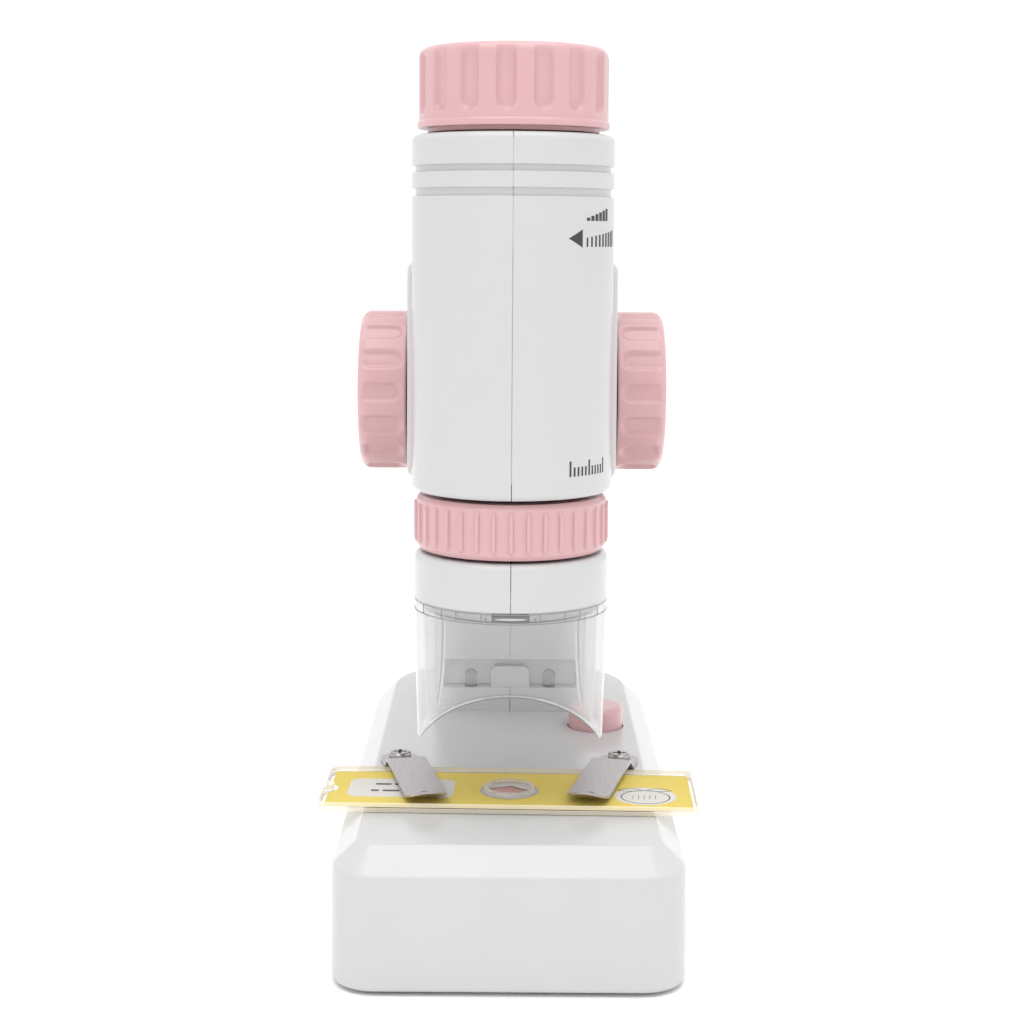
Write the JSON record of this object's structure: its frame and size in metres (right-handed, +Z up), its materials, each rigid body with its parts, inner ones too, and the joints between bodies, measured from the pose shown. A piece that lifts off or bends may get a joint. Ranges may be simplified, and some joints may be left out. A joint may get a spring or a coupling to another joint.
{
  "type": "kids microscope",
  "caption": "Upright toy microscope on a lit box base, with a C-shaped arm, rack-and-pinion focus, zoom cap, focus ring, clear open nose, sprung stage clips and a specimen slide.",
  "frame": {"origin": "on the table under the middle of the base", "axes": "+Z up along the viewer's axis, +Y from the user towards the arm, +X to the user's right"},
  "size_m": [0.0762, 0.157, 0.1784],
  "materials": {
    "white_plastic": "satin-gloss moulded white ABS",
    "pink_plastic": "satin moulded dusty pink ABS",
    "clear_plastic": "polished clear polycarbonate",
    "clear_acrylic": "clear acrylic sheet",
    "optic_glass": "ground and polished lens",
    "spring_steel": "brushed spring steel",
    "screw_steel": "plated steel",
    "grey_steel": "turned steel",
    "contact_nickel": "nickel-plated strip",
    "brass_strip": "stamped brass",
    "board_green": "solder-masked laminate",
    "black_plastic": "matt black moulding",
    "grey_plastic": "pale grey moulding",
    "lamp_resin": "clear epoxy lamp",
    "milky_plastic": "translucent diffuser",
    "battery_wrap": "plain printed sleeve",
    "rubber_grey": "matt rubber",
    "label_paper": "yellow printed card",
    "specimen_film": "stained dried specimen",
    "bush_nylon": "natural nylon"
  },
  "bodies": {
    "stand": {"base_top_shell": "white_plastic", "base_bottom_cover": "white_plastic", "battery_door": "white_plastic", "battery_door_screw": "screw_steel", "rubber_feet": "rubber_grey", "housing_screws": "screw_steel", "batteries": "battery_wrap", "battery_contacts": "contact_nickel", "lead_strips": "brass_strip", "stage_board": "board_green", "stage_led": "lamp_resin", "light_cup": "milky_plastic", "stage_window": "milky_plastic", "button_board": "board_green", "button_switch": "black_plastic", "arm_right_half": "white_plastic", "arm_left_half": "white_plastic", "arm_joint_screws": "screw_steel", "arm_screws": "screw_steel", "lamp_board": "grey_plastic", "arm_lamps": "lamp_resin", "lamp_tab": "white_plastic", "shaft_bushes": "bush_nylon", "clip_screws": "screw_steel"},
    "viewer": {"barrel_left_half": "white_plastic", "barrel_right_half": "white_plastic", "focus_rack": "white_plastic", "rack_screws": "screw_steel", "inner_tube": "black_plastic", "collar_left_half": "white_plastic", "collar_right_half": "white_plastic", "clear_nose": "clear_plastic"},
    "coarse_drive": {"pinion_shaft": "grey_steel", "focus_pinion": "bush_nylon", "coarse_knob_right": "pink_plastic", "coarse_knob_left": "pink_plastic"},
    "zoom_cap": {"zoom_knob": "pink_plastic", "zoom_cam_sleeve": "black_plastic", "eyecup": "black_plastic", "eye_lens": "optic_glass"},
    "eyepiece_group": {"eyepiece_carrier": "black_plastic", "field_lens": "optic_glass"},
    "fine_ring": {"focus_ring": "pink_plastic", "focus_cam_sleeve": "black_plastic"},
    "objective_group": {"objective_carrier": "black_plastic", "objective_lenses": "optic_glass"},
    "light_push": {"light_button": "pink_plastic"},
    "left_clip_arm": {"left_clip": "spring_steel"},
    "right_clip_arm": {"right_clip": "spring_steel"},
    "specimen": {"slide_base_plate": "clear_acrylic", "slide_label": "label_paper", "slide_specimen": "specimen_film", "slide_cover_plate": "clear_acrylic"}
  },
  "joints": [
    {"name": "coarse_focus", "type": "slide", "parent": "stand", "child": "viewer", "axis": [0, 0, 1], "range_m": [-0.009, 0.006]},
    {"name": "coarse_knob_turn", "type": "hinge", "parent": "stand", "child": "coarse_drive", "pos_m": [0, -0.0141, 0.1083], "axis": [1, 0, 0], "range_deg": [-73, 109]},
    {"name": "zoom_turn", "type": "hinge", "parent": "viewer", "child": "zoom_cap", "pos_m": [0, -0.0429, 0.1701], "axis": [0, 0, 1], "range_deg": [0, 270]},
    {"name": "eyepiece_travel", "type": "slide", "parent": "viewer", "child": "eyepiece_group", "axis": [0, 0, 1], "range_m": [-0.0081, 0.0001]},
    {"name": "fine_focus_turn", "type": "hinge", "parent": "viewer", "child": "fine_ring", "pos_m": [0, -0.0429, 0.0846], "axis": [0, 0, 1], "range_deg": [-60, 60]},
    {"name": "objective_travel", "type": "slide", "parent": "viewer", "child": "objective_group", "axis": [0, 0, 1], "range_m": [-0.0021, 0.0021]},
    {"name": "light_button_press", "type": "slide", "parent": "stand", "child": "light_push", "axis": [0, 0, -1], "range_m": [0, 0.0015], "stiffness_N_per_m": 700, "springref_m": -0.0006},
    {"name": "left_clip_swing", "type": "hinge", "parent": "stand", "child": "left_clip_arm", "pos_m": [-0.0238, -0.0179, 0.0281], "axis": [0, 0, 1], "range_deg": [-75, 8]},
    {"name": "right_clip_swing", "type": "hinge", "parent": "stand", "child": "right_clip_arm", "pos_m": [0.0238, -0.0179, 0.0281], "axis": [0, 0, 1], "range_deg": [-8, 75]},
    {"name": "specimen_shift", "type": "slide", "parent": "stand", "child": "specimen", "axis": [0.9996, -0.0279, 0], "range_m": [-0.012, 0.012]}
  ],
  "couplings": [
    {"joint": "coarse_knob_turn", "follows": "coarse_focus", "rad_per_m": -208.33},
    {"joint": "eyepiece_travel", "follows": "zoom_turn", "m_per_rad": -0.0016976},
    {"joint": "objective_travel", "follows": "fine_focus_turn", "m_per_rad": 0.0019099}
  ]
}
